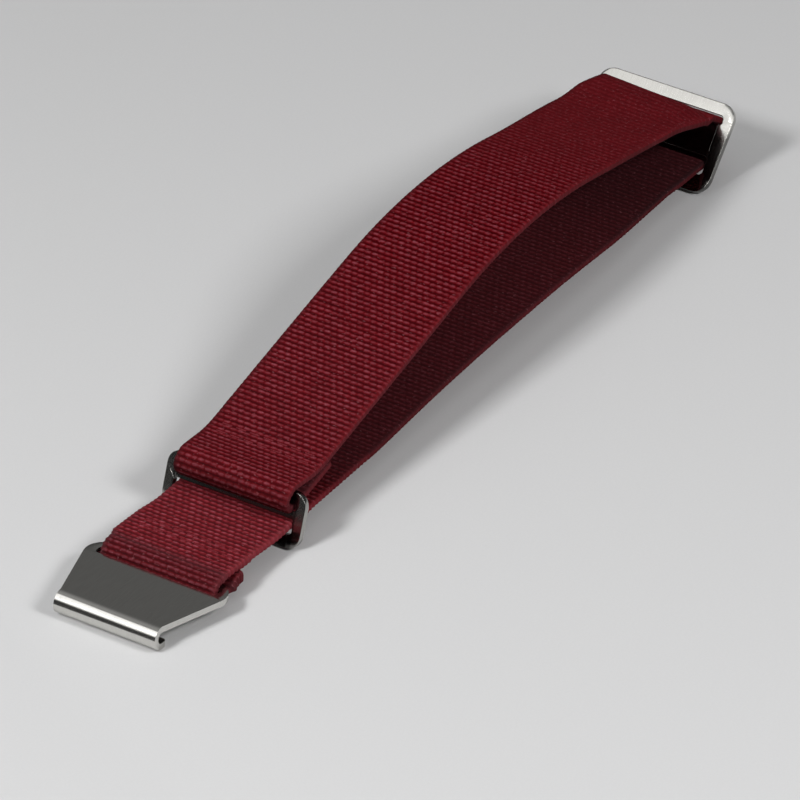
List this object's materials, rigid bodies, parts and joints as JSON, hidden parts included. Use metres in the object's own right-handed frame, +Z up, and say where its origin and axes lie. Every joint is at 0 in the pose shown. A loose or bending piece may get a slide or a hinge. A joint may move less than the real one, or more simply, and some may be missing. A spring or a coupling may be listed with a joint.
{
  "type": "stretch watch band",
  "caption": "Ribbed elastic webbing watch band, doubled into a loop, with a steel hook plate, an adjusting slider and a far buckle that the hook grips.",
  "frame": {"origin": "centre of the band's box, on the surface that it stands on", "axes": "+X along the band from the hook to the far buckle, +Y across the webbing, +Z up"},
  "size_m": [0.1568, 0.0244, 0.0208],
  "materials": {
    "steel": "polished stainless sheet with broken edges",
    "webbing": "burgundy ribbed elastic weave",
    "thread": "burgundy polyester sewing thread"
  },
  "bodies": {
    "webbing": {"upper_run": "webbing", "lower_run": "webbing", "slider_loop": "webbing", "slider_stitching": "thread"},
    "band_front": {"front_band": "webbing", "hook_stitching": "thread"},
    "hook": {"hook_plate": "steel"},
    "slider": {"slider_frame": "steel"},
    "buckle_end": {"buckle_loop": "webbing"},
    "buckle": {"far_buckle": "steel"}
  },
  "joints": [
    {"name": "length_adjust", "type": "slide", "parent": "webbing", "child": "band_front", "axis": [1, 0, 0], "range_m": [-0.02, 0.005], "deforming": ["lower_run"]},
    {"name": "hook_swivel", "type": "hinge", "parent": "band_front", "child": "hook", "pos_m": [-0.06302, 0, 0.00272], "axis": [0, 1, 0], "range_deg": [-45, 70]},
    {"name": "slider_swivel", "type": "hinge", "parent": "webbing", "child": "slider", "pos_m": [-0.04333, 0, 0.00755], "axis": [0, 1, 0], "range_deg": [-35, 12]},
    {"name": "band_stretch", "type": "slide", "parent": "webbing", "child": "buckle_end", "axis": [1, 0, 0], "range_m": [0, 0.03], "stiffness_N_per_m": 450, "deforming": ["upper_run", "lower_run"]},
    {"name": "buckle_swivel", "type": "hinge", "parent": "buckle_end", "child": "buckle", "pos_m": [0.07381, 0, 0.00659], "axis": [0, 1, 0], "range_deg": [-20, 3]}
  ]
}
